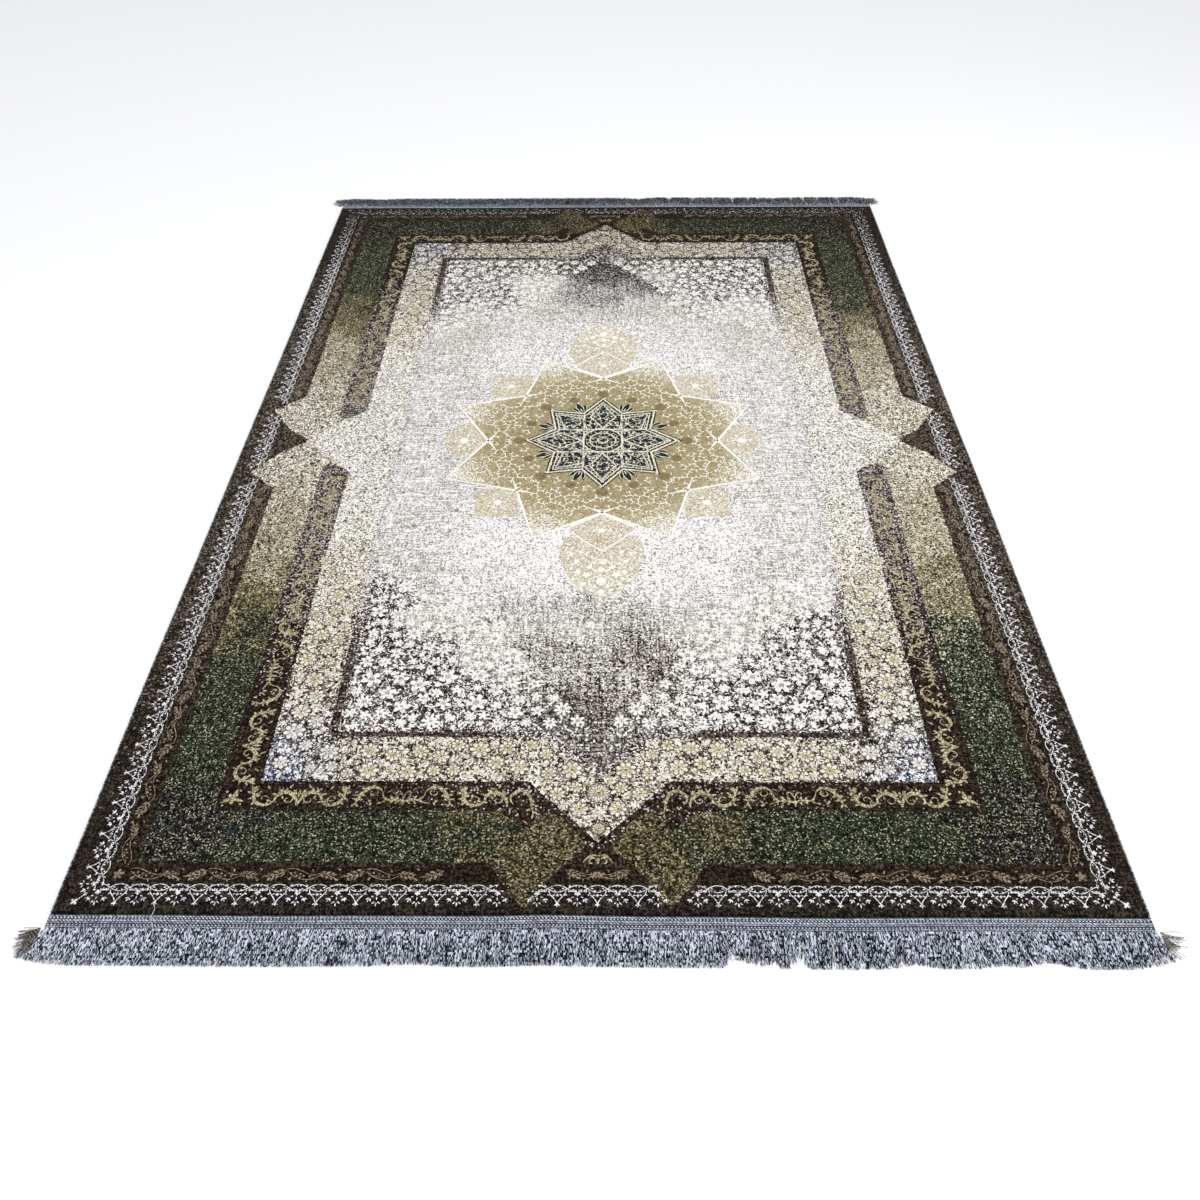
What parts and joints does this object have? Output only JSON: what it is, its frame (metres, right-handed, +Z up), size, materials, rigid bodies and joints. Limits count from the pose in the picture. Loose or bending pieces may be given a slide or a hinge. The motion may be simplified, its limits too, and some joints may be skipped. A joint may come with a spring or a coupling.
{
  "type": "tasseled area rug",
  "caption": "Large rectangular pile rug in traditional floral and star style, lying flat, with overcast long sides and a taped yarn fringe along each short end.",
  "frame": {"origin": "on the floor, under the middle of the rug with its fringes", "axes": "+X across the rug's width, +Y along its length towards the far fringe, +Z up out of the pile"},
  "size_m": [2.0572, 3.2068, 0.009],
  "materials": {
    "wool_pile": "short dense pile, matt with a slight silky sheen",
    "overcast_yarn": "close overlocked stitches, matt",
    "fringe_yarn": "glossy twisted yarns"
  },
  "bodies": {
    "root": {"rug_cloth": "wool_pile", "overcast_left": "overcast_yarn", "overcast_right": "overcast_yarn", "fringe_near": "fringe_yarn", "fringe_far": "fringe_yarn"}
  },
  "joints": []
}
